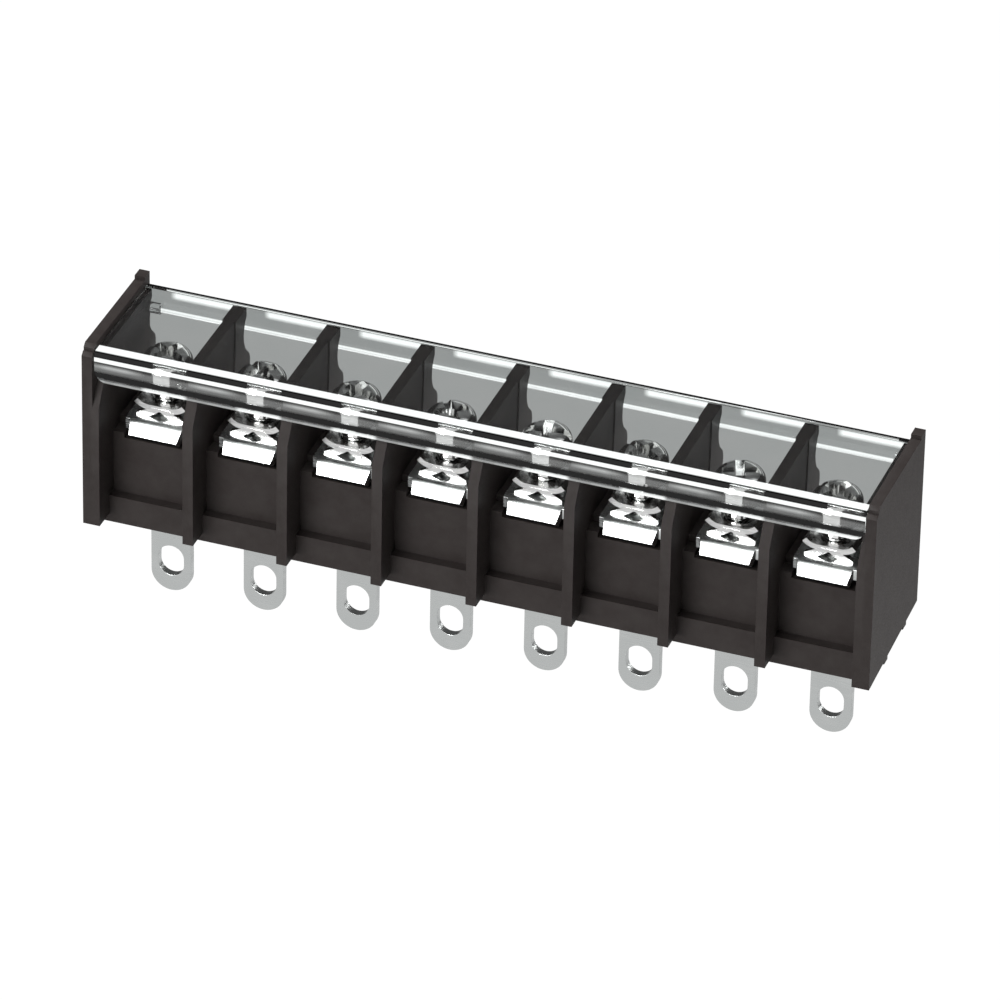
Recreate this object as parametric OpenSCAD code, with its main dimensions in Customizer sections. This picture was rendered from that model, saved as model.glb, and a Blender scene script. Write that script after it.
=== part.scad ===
// Barrier terminal strip: a one-piece black moulding, a clear hinged cover, and
// in every pole a bent contact with a solder lug, a loose wire clamp and a
// captive screw with its lock washer. The screws stand backed out, as supplied.
// Millimetres. +X runs along the strip, -Y is the wiring side, +Z is up.
// The origin is the middle of the seat plane under the body.

/* [Poles] */
// Distance between neighbouring poles
pitch = 9.5; // [9.3:0.1:11]

/* [Housing] */
// Depth of the barriers and end walls, front to back
depth = 14.5; // [14.3:0.1:16]
// Thickness of a barrier
barrier_t = 1.06; // [0.9:0.02:1.2]
// Extra thickness of the rear part of a barrier
barrier_step = 0.3; // [0.1:0.05:0.4]
// Length of that thicker rear part
barrier_step_len = 3.9; // [3:0.1:5]
// Height of the barrier tops above the seat
barrier_top = 19.35; // [19.2:0.05:20]
// Height of the barrier feet above the seat
foot_z = 0.85; // [0.4:0.05:1.2]
// Height where the barrier front starts to lean back
lean_z = 13.95; // [13:0.05:14.5]
// Height of the leaning part of the barrier front
lean_h = 2.3; // [1.8:0.1:2.5]
// How far the upper barrier front is set back for the cover
lean_back = 1.35; // [1.3:0.05:1.5]
// How far the barrier's rear edge is set forward at its top
top_in = 1.1; // [1.05:0.05:1.4]
// How far the barrier's waist is set forward at the rear
waist_in = 1.8; // [1.75:0.05:2]
// Height of the waist above the seat
waist_z = 16.6; // [16.4:0.05:16.8]
// Radius of the hollow curve of the waist
waist_r = 2.6; // [2.5:0.05:2.8]
// Height of the barrier's rear bulge above the seat
bulge_z = 13.1; // [12.9:0.05:13.2]
// Radius of the rear bulge
bulge_r = 1.64; // [1.5:0.02:1.7]
// Thickness of the outer layer of an end wall
end_t = 1.05; // [1:0.05:1.4]
// Thickness of the inner layer of an end wall, shaped as a barrier
end_inner_t = 0.65; // [0.5:0.05:0.9]
// Height of the end walls above the seat
end_top = 20.45; // [20.3:0.05:21]
// Height of each of the two steps on an end wall's front corner
nose_h = 0.35; // [0.2:0.05:0.4]
// Depth of those steps
nose_d = 0.35; // [0.2:0.05:0.5]
// Length of the flat between the steps
nose_flat = 0.2; // [0.1:0.05:0.4]
// Height of the small block on the rear corner of an end wall
nub_h = 0.4; // [0.2:0.05:0.6]
// Length of that block
nub_len = 1.25; // [1:0.05:1.6]
// Rise of the end wall's underside from front to back
end_rise = 1.15; // [0.5:0.05:1.5]
// Length of each small foot under an end wall
end_foot_len = 1; // [0.6:0.1:1.4]
// Depth of each small foot under an end wall
end_foot_h = 0.35; // [0.2:0.05:0.5]
// Set-back of the front one of the two small feet
end_foot_a = 5.1; // [4:0.1:6]
// Set-back of the rear one
end_foot_b = 10.7; // [9:0.1:11.5]
// Set-back of the front panel behind the barrier fronts
panel_back = 3.55; // [3.4:0.05:3.7]
// How far the skirt stands out from the panel
skirt_out = 1.1; // [0.8:0.05:1.3]
// Height of the skirt above the seat
skirt_top = 2.9; // [2.5:0.1:3.4]
// Height of the panel top above the seat
panel_top = 9.5; // [9.3:0.05:9.6]
// Depth of the recess in the panel top, under the contact lip
recess_h = 0.55; // [0.5:0.05:0.7]
// Width of that recess
recess_w = 6.2; // [5.8:0.1:6.6]
// Depth of the panel top, front to back
shelf_len = 1.65; // [1.4:0.05:1.7]
// Height of the bed that the contacts lie on
bed_z = 10.25; // [10.1:0.05:10.4]
// Set-back of the body's rear face in front of the barrier backs
rear_in = 0.9; // [0.7:0.05:1.1]
// Thickness of the low rear wall of each pole
rear_wall_t = 0.7; // [0.6:0.05:0.9]
// Height of that rear wall above the seat
rear_wall_top = 11.85; // [11.5:0.05:12.2]
// Play of the leg in the well, at each side and behind it
well_play = 0.15; // [0.05:0.05:0.25]
// Distance from the well's front wall to the screw axis
well_front = 1.75; // [1.65:0.05:1.8]
// Width of the cored pockets under the barriers
core_w = 2.7; // [2:0.1:2.8]
// Height of those pockets
core_h = 8.2; // [6:0.1:8.4]
// Width of the web between the two pockets under a barrier
core_web = 1.4; // [1.2:0.1:1.8]
// Wall left in front of and behind the pockets
core_wall = 1.2; // [1:0.1:1.4]

/* [Cover] */
// Thickness of the cover's top
cover_t = 0.6; // [0.55:0.05:0.9]
// Thickness of the cover's front flange
front_flange_t = 0.8; // [0.6:0.05:0.8]
// Thickness of the cover's rear flange
rear_flange_t = 0.6; // [0.5:0.05:0.6]
// How far the front flange lies behind the barrier fronts
cover_front_in = 0.25; // [0.2:0.05:0.3]
// How far the rear flange lies in front of the end walls' backs
cover_back_in = 0.4; // [0.35:0.05:0.4]
// Height of the flanges' lower edges above the seat
flange_z = 16.75; // [16.7:0.05:17]
// Radius of the cover's upper edges
cover_r = 0.55; // [0.3:0.05:0.55]
// Play between the cover and each end wall
cover_play = 0.12; // [0.05:0.01:0.2]
// Radius of the lower corners of the front flange
cover_corner = 1.2; // [0.6:0.1:1.6]
// Radius of the cover's pivot pins
pin_r = 0.45; // [0.4:0.05:0.5]
// Length of each pivot pin
pin_len = 0.75; // [0.5:0.05:0.8]
// Play of a pivot pin in its socket, all round and at its end
pin_play = 0.05; // [0.03:0.01:0.08]
// Radius of the thick end of the rear flange that carries a pin
knuckle_r = 0.6; // [0.55:0.01:0.62]
// Length of that thick end
knuckle_len = 1.4; // [1:0.1:2]
// Height of the pivot above the seat
pivot_z = 17.15; // [17.1:0.05:17.2]
// Distance from the pivot to the rear flange's outer face
pivot_in = 0.55; // [0.5:0.01:0.56]

/* [Contact] */
// Thickness of the contact strip
strip_t = 0.8; // [0.7:0.05:0.8]
// Inner radius of the strip's bends
bend_r = 0.3; // [0.2:0.05:0.4]
// Width of the contact plate
plate_w = 6.3; // [6:0.1:6.8]
// Distance from the screw axis to the bend of the lip
plate_front = 2.5; // [2.4:0.05:2.6]
// Distance from the screw axis to the back of the leg
plate_back = 5.3; // [5.2:0.05:5.4]
// Angle that the lip is bent down by
lip_a = 50; // [40:1:55]
// Length of the lip's straight end
lip_len = 1.15; // [0.9:0.05:1.2]
// Width of the lip where it leaves the plate
lip_w = 5.4; // [5:0.1:5.8]
// Width of the lip's end
lip_end_w = 4.5; // [4:0.1:4.9]
// Distance from the screw axis to the shoulders beside the lip
shoulder_front = 3; // [2.8:0.05:3.1]
// Width of the leg and the lug
leg_w = 4.1; // [3.8:0.05:4.3]
// Height of the foot's underside above the seat
leg_foot_z = 1.5; // [1.2:0.05:1.8]
// Set-back of the lug's front face behind the barrier fronts
lug_back = 7.6; // [7.4:0.05:7.8]
// Length of the lug below the seat
lug_len = 9.9; // [8:0.1:11]
// Width of the eye in the lug
eye_w = 2.6; // [2:0.1:2.8]
// Height of the eye in the lug
eye_h = 3.3; // [2.9:0.1:3.6]
// Distance from the eye's middle up from the centre of the round end
eye_up = 1.3; // [0.8:0.1:1.5]
// Radius of the threaded collar under the plate
collar_r = 1.95; // [1.9:0.05:2.05]
// Length of the collar below the plate
collar_len = 1.2; // [0.8:0.1:1.3]
// Clear space round the collar
collar_play = 0.2; // [0.1:0.05:0.3]

/* [Screw] */
// Set-back of the screw axis behind the barrier fronts
axis_back = 7; // [6.9:0.05:7.1]
// Radius of the screw shank
shank_r = 1.5; // [1.45:0.01:1.5]
// Radial play of the shank in the contact and the lock washer
shank_play = 0.05; // [0.03:0.01:0.1]
// Length of the shank below the head
shank_len = 8; // [7:0.5:9]
// Height of the head's underside above the seat, backed out
head_z = 15.15; // [15:0.05:15.3]
// Radius of the screw head
head_r = 2.5; // [2.4:0.05:2.7]
// Height of the straight side of the head
head_side = 0.75; // [0.5:0.05:0.8]
// Radius of the head's rounded edge
head_round = 1.25; // [1:0.05:1.3]
// Width of the driver slot
slot_w = 0.8; // [0.6:0.05:1]
// Depth of the driver slot
slot_h = 0.75; // [0.5:0.05:1]
// Length of the cross recess, tip to tip
cross_len = 3; // [2.6:0.1:3.2]
// Depth of the cross recess
cross_h = 1.25; // [1.1:0.05:1.4]
// Height of the chamfer on the shank's end
tip_h = 0.4; // [0.2:0.1:0.6]

/* [Lock washer] */
// Outer radius of the lock washer
lock_r = 2.4; // [2.2:0.05:2.45]
// Thickness of the lock washer
lock_t = 0.8; // [0.6:0.05:0.9]
// Width of its split
lock_split = 0.45; // [0.3:0.05:0.6]
// Lean of its split
lock_lean = 20; // [0:1:30]

/* [Clamp] */
// Thickness of the clamp
clamp_t = 0.6; // [0.5:0.05:0.65]
// Half width of the clamp's flat middle
clamp_flat = 1.3; // [1.1:0.05:1.4]
// Inner radius of the sweep of the clamp's ears
ear_r = 1.5; // [1.3:0.05:1.6]
// Angle of that sweep
ear_a = 55; // [45:1:58]
// Depth of the clamp, front to back
clamp_d = 5.8; // [5.4:0.1:6]
// Height of the clamp's feet under its middle
clamp_foot_h = 0.7; // [0.5:0.05:0.8]
// Thickness of the clamp's two feet
foot_t = 0.6; // [0.5:0.05:0.7]
// Width over the two claws of a foot
claw_w = 5.2; // [4.8:0.1:5.2]
// Radius of the arch between the two claws
arch_r = 0.6; // [0.4:0.05:1.1]
// Radial play of the shank in the clamp
clamp_play = 0.15; // [0.1:0.01:0.25]

/* [Hidden] */
// Smoothness of the drawn curves
$fn = 64;
// A little more than nothing, for cuts that run past a face
eps = 0.5;
// Number of poles
poles = 8;
// Half the depth: the barriers' front and back faces
half_d = depth / 2;
// Middle of the first pole, and the right end wall's barrier line
pole_x0 = -(poles - 1) * pitch / 2;
edge_x = poles * pitch / 2;
// Inner and outer face of the right end wall's outer layer
end_in_x = edge_x - barrier_t / 2 + end_inner_t;
end_x = end_in_x + end_t;
// Rear edge of a barrier at its top, centre of its waist and of its bulge
top_y = half_d - top_in;
waist_y = half_d - waist_in + waist_r;
bulge_y = half_d - bulge_r;
// Direction from the bulge's centre to the waist's centre
bulge_a = atan2(waist_z - bulge_z, waist_y - bulge_y);
// Front face of the panel, front face of the skirt, rear face of the body
panel_y = -half_d + panel_back;
skirt_y = panel_y - skirt_out;
rear_y = half_d - rear_in;
// Screw axis
axis_y = -half_d + axis_back;
// Width, front face and rear face of the well
well_w = leg_w + 2 * well_play;
well_y = axis_y - well_front;
well_back_y = axis_y + plate_back + well_play;
// Cover faces and its pivot
cover_front_y = -half_d + cover_front_in;
cover_back_y = half_d - cover_back_in;
cover_top = barrier_top + cover_t;
cover_x = end_in_x - cover_play;
pivot_y = cover_back_y - pivot_in;
// Contact: top of the plate, outer bend radius, front and rear bend lines
plate_top = bed_z + strip_t;
bend_out = bend_r + strip_t;
lip_y = axis_y - plate_front;
leg_y = axis_y + plate_back - bend_out;
// Lug: front face and bend line
lug_y = -half_d + lug_back;
lug_bend_y = lug_y + bend_out;
// Clamp: underside and top of its flat middle
clamp_z = plate_top + clamp_foot_h;
clamp_top = clamp_z + clamp_t;

// Draws a side view (Y, Z) as a solid from x0, len long in +X
module along_x(x0, len) {
  translate([x0, 0, 0]) rotate([90, 0, 90]) linear_extrude(len) children();
}

// Draws a front view (X, Z) as a solid from y0, len long in +Y
module along_y(y0, len) {
  translate([0, y0 + len, 0]) rotate([90, 0, 0]) linear_extrude(len) children();
}

// A block from its lower corner to its upper corner
module block(from, to) {
  translate(from) cube(to - from);
}

// A block from the front face y0 to the rear face y1, w wide, centred on x = 0
module middle_block(w, y0, y1, z0, z1) {
  block([-w / 2, y0, z0], [w / 2, y1, z1]);
}

// Puts its children on the screw axis of pole n
module at_pole(n) {
  translate([pole_x0 + (n - 1) * pitch, axis_y, 0]) children();
}

// Puts its children in the middle of pole n, at the strip's own Y
module in_pole(n) {
  translate([pole_x0 + (n - 1) * pitch, 0, 0]) children();
}

// Part of a ring between two directions, for a bend in sheet
module bend(r, t, a0, a1) {
  reach = 2 * (r + t);
  mid = (a0 + a1) / 2;
  intersection() {
    difference() {
      circle(r + t);
      circle(r);
    }
    polygon([[0, 0], reach * [cos(a0), sin(a0)], reach * [cos(mid), sin(mid)], reach * [cos(a1), sin(a1)]]);
  }
}

// Housing

// Side view of a barrier
module barrier_side() {
  difference() {
    union() {
      polygon([[-half_d, foot_z],
               [-half_d, lean_z],
               [-half_d + lean_back, lean_z + lean_h],
               [-half_d + lean_back, barrier_top],
               [top_y, barrier_top],
               [top_y, waist_z],
               [bulge_y + bulge_r * cos(bulge_a), bulge_z + bulge_r * sin(bulge_a)],
               [bulge_y, bulge_z],
               [rear_y, bulge_z],
               [rear_y, foot_z]]);
      translate([bulge_y, bulge_z]) circle(bulge_r);
    }
    translate([waist_y, waist_z]) circle(waist_r);
  }
}

// Barrier on the line x: thin in front, a little thicker at the rear
module barrier(x) {
  along_x(x - barrier_t / 2, barrier_t) barrier_side();
  rear_t = barrier_t + barrier_step;
  along_x(x - rear_t / 2, rear_t) intersection() {
    barrier_side();
    translate([half_d - barrier_step_len, 0]) square([barrier_step_len, barrier_top]);
  }
}

// Small foot under an end wall, y behind the wall's front
module end_foot(y) {
  low = foot_z + end_rise * y / depth - end_foot_h;
  translate([-half_d + y - end_foot_len / 2, low]) square([end_foot_len, end_foot_h + end_rise]);
}

// Side view of an end wall's outer layer
module end_side() {
  polygon([[-half_d, foot_z],
           [-half_d, end_top - 2 * nose_h - nose_d],
           [-half_d + nose_d, end_top - 2 * nose_h],
           [-half_d + nose_d + nose_flat, end_top - 2 * nose_h],
           [-half_d + nose_d + nose_flat, end_top - nose_h],
           [-half_d + 2 * nose_d + nose_flat, end_top],
           [half_d - nub_len, end_top],
           [half_d - nub_len, end_top + nub_h],
           [half_d, end_top + nub_h],
           [half_d, foot_z + end_rise]]);
  end_foot(end_foot_a);
  end_foot(end_foot_b);
}

// Right end wall: outer layer, and an inner layer shaped as a barrier
module end_wall() {
  difference() {
    along_x(end_in_x, end_t) end_side();
    translate([end_in_x - eps, pivot_y, pivot_z]) rotate([0, 90, 0])
      cylinder(h = eps + pin_len - cover_play + pin_play, r = pin_r + pin_play);
  }
  along_x(end_in_x - end_inner_t, end_inner_t) barrier_side();
}

// Solid part of the body, before the wells and pockets
module body_solid() {
  block([-end_in_x, panel_y, 0], [end_in_x, rear_y, panel_top]);
  block([-end_in_x, panel_y + shelf_len, 0], [end_in_x, rear_y, bed_z]);
  block([-end_in_x, rear_y - rear_wall_t, 0], [end_in_x, rear_y, rear_wall_top]);
  block([-end_in_x, skirt_y, 0], [end_in_x, rear_y, skirt_top]);
}

// What one pole takes out of the body: lip recess, well, room for the collar
module pole_cuts() {
  middle_block(recess_w, panel_y - eps, panel_y + shelf_len, panel_top - recess_h, bed_z);
  middle_block(well_w, well_y, well_back_y, -eps, bed_z + eps);
  translate([0, axis_y, bed_z - collar_len - collar_play])
    cylinder(h = collar_len + collar_play + eps, r = collar_r + collar_play);
}

// Two pockets under the barrier on the line x
module core_cuts(x) {
  translate([x, 0, 0]) {
    middle_block(core_w, panel_y + core_wall, -core_web / 2, -eps, core_h);
    middle_block(core_w, core_web / 2, rear_y - core_wall, -eps, core_h);
  }
}

module housing() {
  color([0.12, 0.12, 0.12]) {
    difference() {
      body_solid();
      for (n = [1 : poles]) in_pole(n) pole_cuts();
      for (k = [1 : poles - 1]) core_cuts(-edge_x + k * pitch);
    }
    difference() {
      for (k = [1 : poles - 1]) barrier(-edge_x + k * pitch);
      for (k = [1 : poles - 1]) core_cuts(-edge_x + k * pitch);
    }
    end_wall();
    mirror([1, 0, 0]) end_wall();
  }
}

// Cover

// Side view of the cover
module cover_side() {
  difference() {
    union() {
      translate([cover_front_y, flange_z])
        square([cover_back_y - cover_front_y, cover_top - cover_r - flange_z]);
      translate([cover_front_y + cover_r, flange_z])
        square([cover_back_y - cover_front_y - 2 * cover_r, cover_top - flange_z]);
      translate([cover_front_y + cover_r, cover_top - cover_r]) circle(cover_r);
      translate([cover_back_y - cover_r, cover_top - cover_r]) circle(cover_r);
    }
    translate([cover_front_y + front_flange_t, flange_z - eps])
      square([cover_back_y - cover_front_y - front_flange_t - rear_flange_t, barrier_top - flange_z + eps]);
  }
}

// What rounds the lower right corner of the front flange
module corner_cut() {
  along_y(cover_front_y - eps, front_flange_t + 2 * eps) difference() {
    translate([cover_x - cover_corner, flange_z - eps]) square([cover_corner + eps, cover_corner + eps]);
    translate([cover_x - cover_corner, flange_z + cover_corner]) circle(cover_corner);
  }
}

// Thick right end of the rear flange, with its pivot pin
module knuckle() {
  translate([cover_x - knuckle_len, pivot_y, pivot_z]) rotate([0, 90, 0]) {
    cylinder(h = knuckle_len, r = knuckle_r);
    cylinder(h = knuckle_len + pin_len, r = pin_r);
  }
}

module cover() {
  color([0.8, 0.85, 0.85, 0.4]) {
    difference() {
      along_x(-cover_x, 2 * cover_x) cover_side();
      corner_cut();
      mirror([1, 0, 0]) corner_cut();
    }
    knuckle();
    mirror([1, 0, 0]) knuckle();
  }
}

// Contact

// Side view of the plate with its lip
module plate_side() {
  translate([lip_y, bed_z - bend_r]) bend(bend_r, strip_t, 90, 90 + lip_a);
  translate([lip_y, bed_z - bend_r]) rotate(90 + lip_a) translate([bend_r, 0]) square([strip_t, lip_len]);
  translate([lip_y, bed_z]) square([leg_y - lip_y, strip_t]);
}

// Side view of the leg, the foot and the lug
module leg_side() {
  low = leg_foot_z + bend_out;
  translate([leg_y, bed_z - bend_r]) bend(bend_r, strip_t, 0, 90);
  translate([leg_y + bend_r, low]) square([strip_t, bed_z - bend_r - low]);
  translate([leg_y, low]) bend(bend_r, strip_t, -90, 0);
  translate([lug_bend_y, leg_foot_z]) square([leg_y - lug_bend_y, strip_t]);
  translate([lug_bend_y, leg_foot_z - bend_r]) bend(bend_r, strip_t, 90, 180);
  translate([lug_y, -lug_len]) square([strip_t, leg_foot_z - bend_r + lug_len]);
}

// Top view of the plate with its lip
module plate_top_view() {
  tip_y = lip_y - bend_out - lip_len;
  shoulder_y = axis_y - shoulder_front;
  polygon([[-lip_end_w / 2, tip_y],
           [lip_end_w / 2, tip_y],
           [lip_w / 2, shoulder_y],
           [plate_w / 2, shoulder_y],
           [plate_w / 2, leg_y],
           [-plate_w / 2, leg_y],
           [-plate_w / 2, shoulder_y],
           [-lip_w / 2, shoulder_y]]);
}

// Front view of the lug: round end and oval eye
module lug_front_view() {
  end_r = leg_w / 2;
  eye_r = eye_w / 2;
  rise = (eye_h - eye_w) / 2;
  difference() {
    union() {
      translate([0, -lug_len + end_r]) circle(end_r);
      translate([-end_r, -lug_len + end_r]) square([leg_w, lug_len - end_r + plate_top]);
    }
    translate([0, -lug_len + end_r + eye_up]) {
      translate([0, rise]) circle(eye_r);
      translate([0, -rise]) circle(eye_r);
      translate([-eye_r, -rise]) square([eye_w, 2 * rise]);
    }
  }
}

module contact(n) {
  color([0.85, 0.85, 0.83]) in_pole(n) difference() {
    union() {
      intersection() {
        along_x(-plate_w / 2, plate_w) plate_side();
        linear_extrude(plate_top + eps) plate_top_view();
      }
      intersection() {
        along_x(-leg_w / 2, leg_w) leg_side();
        along_y(lug_y - eps, plate_back + axis_y - lug_y + 2 * eps) lug_front_view();
      }
      translate([0, axis_y, bed_z - collar_len]) cylinder(h = collar_len + strip_t / 2, r = collar_r);
    }
    translate([0, axis_y, bed_z - collar_len - eps])
      cylinder(h = collar_len + strip_t + 2 * eps, r = shank_r + shank_play);
  }
}

// Clamp

// Front view of the right ear, swept up from the flat middle
module ear_front() {
  translate([clamp_flat, clamp_top + ear_r]) bend(ear_r, clamp_t, -90, -90 + ear_a);
}

// Front view of the saddle
module saddle_front() {
  translate([-clamp_flat, clamp_z]) square([2 * clamp_flat, clamp_t]);
  ear_front();
  mirror([1, 0]) ear_front();
}

// Front view of a foot: two claws with an arch between them
module claws_front() {
  difference() {
    translate([-claw_w / 2, plate_top]) square([claw_w, clamp_foot_h + clamp_t]);
    translate([clamp_flat, clamp_top + ear_r]) circle(ear_r + clamp_t / 2);
    translate([-clamp_flat, clamp_top + ear_r]) circle(ear_r + clamp_t / 2);
    translate([-clamp_flat, clamp_top - clamp_t / 2]) square([2 * clamp_flat, clamp_t]);
    translate([0, plate_top]) circle(arch_r);
  }
}

module clamp(n) {
  color([0.78, 0.78, 0.78]) at_pole(n) difference() {
    union() {
      along_y(-clamp_d / 2, clamp_d) saddle_front();
      along_y(-clamp_d / 2, foot_t) claws_front();
      along_y(clamp_d / 2 - foot_t, foot_t) claws_front();
    }
    translate([0, 0, clamp_z - eps]) cylinder(h = clamp_t + 2 * eps, r = shank_r + clamp_play);
  }
}

// Lock washer

module lock_washer(n) {
  color([0.7, 0.7, 0.7]) at_pole(n) translate([0, 0, head_z - lock_t]) difference() {
    cylinder(h = lock_t, r = lock_r);
    translate([0, 0, -eps]) cylinder(h = lock_t + 2 * eps, r = shank_r + shank_play);
    translate([0, -lock_r, lock_t / 2]) rotate([0, lock_lean, 0])
      cube([lock_split, 2 * lock_r, 4 * lock_t], center = true);
  }
}

// Screw

// Half section of the screw, with the head's underside at zero
module screw_section() {
  polygon([[0, -shank_len],
           [shank_r - tip_h, -shank_len],
           [shank_r, -shank_len + tip_h],
           [shank_r, 0],
           [head_r, 0],
           [head_r, head_side],
           [0, head_side]]);
  square([head_r - head_round, head_side + head_round]);
  intersection() {
    translate([head_r - head_round, head_side]) circle(head_round);
    translate([0, head_side / 2]) square([head_r, head_side + head_round]);
  }
}

module screw(n) {
  head_top = head_side + head_round;
  color([0.8, 0.8, 0.8]) at_pole(n) translate([0, 0, head_z]) difference() {
    rotate_extrude() screw_section();
    middle_block(slot_w, -2 * head_r, 2 * head_r, head_top - slot_h, head_top + eps);
    middle_block(slot_w, -cross_len / 2, cross_len / 2, head_top - cross_h, head_top + eps);
    middle_block(cross_len, -slot_w / 2, slot_w / 2, head_top - cross_h, head_top + eps);
  }
}

housing();
cover();
contact(1);  // contact_1
contact(2);  // contact_2
contact(3);  // contact_3
contact(4);  // contact_4
contact(5);  // contact_5
contact(6);  // contact_6
contact(7);  // contact_7
contact(8);  // contact_8
clamp(1);  // clamp_1
clamp(2);  // clamp_2
clamp(3);  // clamp_3
clamp(4);  // clamp_4
clamp(5);  // clamp_5
clamp(6);  // clamp_6
clamp(7);  // clamp_7
clamp(8);  // clamp_8
lock_washer(1);  // lock_washer_1
lock_washer(2);  // lock_washer_2
lock_washer(3);  // lock_washer_3
lock_washer(4);  // lock_washer_4
lock_washer(5);  // lock_washer_5
lock_washer(6);  // lock_washer_6
lock_washer(7);  // lock_washer_7
lock_washer(8);  // lock_washer_8
screw(1);  // screw_1
screw(2);  // screw_2
screw(3);  // screw_3
screw(4);  // screw_4
screw(5);  // screw_5
screw(6);  // screw_6
screw(7);  // screw_7
screw(8);  // screw_8
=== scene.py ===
# %% [markdown]
# # A barrier terminal strip, dressed for a studio picture
#
# The strip is a black moulding with eight poles. Between its barriers stand the
# screws, each with a lock washer and a pressed wire clamp, and a clear cover lies
# over them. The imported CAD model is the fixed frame: this script adds finishes,
# softened edges, threads and bends to it, and never moves it. Blender measures in
# metres, so a length is written as a number of millimetres times MM.

# %% Load the frame
import math

import bmesh
import bpy
from mathutils import Matrix, Vector


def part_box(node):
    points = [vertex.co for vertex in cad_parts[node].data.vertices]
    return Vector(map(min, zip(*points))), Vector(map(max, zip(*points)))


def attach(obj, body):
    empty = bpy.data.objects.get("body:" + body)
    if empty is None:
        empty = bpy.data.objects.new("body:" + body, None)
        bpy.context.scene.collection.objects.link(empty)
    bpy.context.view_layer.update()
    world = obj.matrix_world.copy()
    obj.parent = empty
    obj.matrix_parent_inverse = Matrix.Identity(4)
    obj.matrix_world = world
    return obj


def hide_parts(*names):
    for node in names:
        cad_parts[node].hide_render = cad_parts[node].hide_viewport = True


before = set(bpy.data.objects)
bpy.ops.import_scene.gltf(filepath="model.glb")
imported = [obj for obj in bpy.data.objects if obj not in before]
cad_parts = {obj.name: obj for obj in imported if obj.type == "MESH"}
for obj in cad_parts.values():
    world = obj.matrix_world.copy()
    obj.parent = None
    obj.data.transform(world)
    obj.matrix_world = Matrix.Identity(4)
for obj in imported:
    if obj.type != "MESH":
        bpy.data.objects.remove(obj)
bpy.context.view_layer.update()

MM = 0.001
POLES = range(1, 9)

# %% [markdown]
# ## Small helpers for node trees
#
# Every finish and every repeated piece below is a node tree. A tree could be drawn
# by hand in the node editor, but in a script it needs a few moves over and over:
# adding a node with its values already set, doing sums, spreading a value over
# another range, mixing two colours, and opening a tree with named sockets. So each
# of these moves gets a helper.

# %% Tree helpers
def add(tree, kind, inputs=(), **settings):
    """Adds a node; settings are its properties, inputs its values or links by name."""
    node = tree.nodes.new(kind)
    for name, value in settings.items():
        setattr(node, name, value)
    for name, value in dict(inputs).items():
        socket = node.inputs[name]
        if isinstance(value, bpy.types.NodeSocket):
            tree.links.new(value, socket)
        else:
            socket.default_value = value
    return node


def output_of(tree, kind, inputs=(), **settings):
    """Adds a node and gives its first output."""
    return add(tree, kind, inputs, **settings).outputs[0]


def maths(tree, kind, *values, **settings):
    """The result of a Math node, from its kind and its values in their order."""
    return output_of(tree, "ShaderNodeMath", dict(enumerate(values)), operation=kind,
                     **settings)


def remap(tree, value, start, end, low=0.0, high=1.0):
    """Goes from low to high while the value goes from start to end."""
    return output_of(tree, "ShaderNodeMapRange", {
        "Value": value, "From Min": start, "From Max": end, "To Min": low, "To Max": high})


def mix_colours(tree, share, first, second):
    """Goes from the first colour to the second while the share goes from 0 to 1."""
    # a Mix node has sockets for every kind of value: 6 and 7 are its colours
    return add(tree, "ShaderNodeMix", {0: share, 6: first, 7: second},
               data_type="RGBA").outputs[2]


def open_tree(name, kind, inputs, outputs):
    """A new tree with named sockets: (name, socket type, default or None)."""
    tree = bpy.data.node_groups.new(name, kind)
    for way, sockets in (("INPUT", inputs), ("OUTPUT", outputs)):
        for label, socket_type, value in sockets:
            socket = tree.interface.new_socket(label, in_out=way, socket_type=socket_type)
            if value is not None:
                socket.default_value = value
    source = tree.nodes.new("NodeGroupInput")
    sink = tree.nodes.new("NodeGroupOutput")
    return tree, source.outputs, sink.inputs


FLOAT, COLOUR, VECTOR = "NodeSocketFloat", "NodeSocketColor", "NodeSocketVector"
GEOMETRY, MATERIAL = "NodeSocketGeometry", "NodeSocketMaterial"
SURFACE = [("Color", COLOUR, None), ("Roughness", FLOAT, None), ("Height", FLOAT, None)]
print("helpers ready; a surface group gives", [label for label, *_ in SURFACE])

# %% [markdown]
# ## The grain of moulded plastic
#
# The tool of a moulding is spark-eroded, so its parts carry a very fine matt grain
# and, over millimetres, a faint unevenness of gloss from the filler's flow. A
# photographed texture would need a UV map and would repeat. Noise on the piece's own
# coordinates needs no map and never repeats. One group gives both: a slow mottle for
# colour, and a fine grain for roughness and bump. The black body and the clear cover
# use it with their own values.

# %% Group: moulded grain
NOISE_LOW, NOISE_HIGH = 0.3, 0.7  # most of a noise's values lie between these two
grain, given, out = open_tree(
    "moulded_grain", "ShaderNodeTree",
    [("Mottles per Metre", FLOAT, 900.0), ("Grains per Metre", FLOAT, 9000.0),
     ("Dark", COLOUR, (0.02, 0.02, 0.02, 1)), ("Light", COLOUR, (0.03, 0.03, 0.03, 1)),
     ("Gloss", FLOAT, 0.4), ("Matt", FLOAT, 0.5)], SURFACE)
place = add(grain, "ShaderNodeTexCoord").outputs["Object"]
mottle = output_of(grain, "ShaderNodeTexNoise", {
    "Vector": place, "Scale": given["Mottles per Metre"], "Detail": 3.0, "Roughness": 0.6})
fine = output_of(grain, "ShaderNodeTexNoise", {
    "Vector": place, "Scale": given["Grains per Metre"], "Detail": 2.0})
share = remap(grain, mottle, NOISE_LOW, NOISE_HIGH)
tone = mix_colours(grain, share, given["Dark"], given["Light"])
rough = remap(grain, fine, NOISE_LOW, NOISE_HIGH, given["Gloss"], given["Matt"])
for label, value in (("Color", tone), ("Roughness", rough), ("Height", fine)):
    grain.links.new(value, out[label])
print("group moulded_grain:", len(grain.nodes), "nodes")

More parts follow.
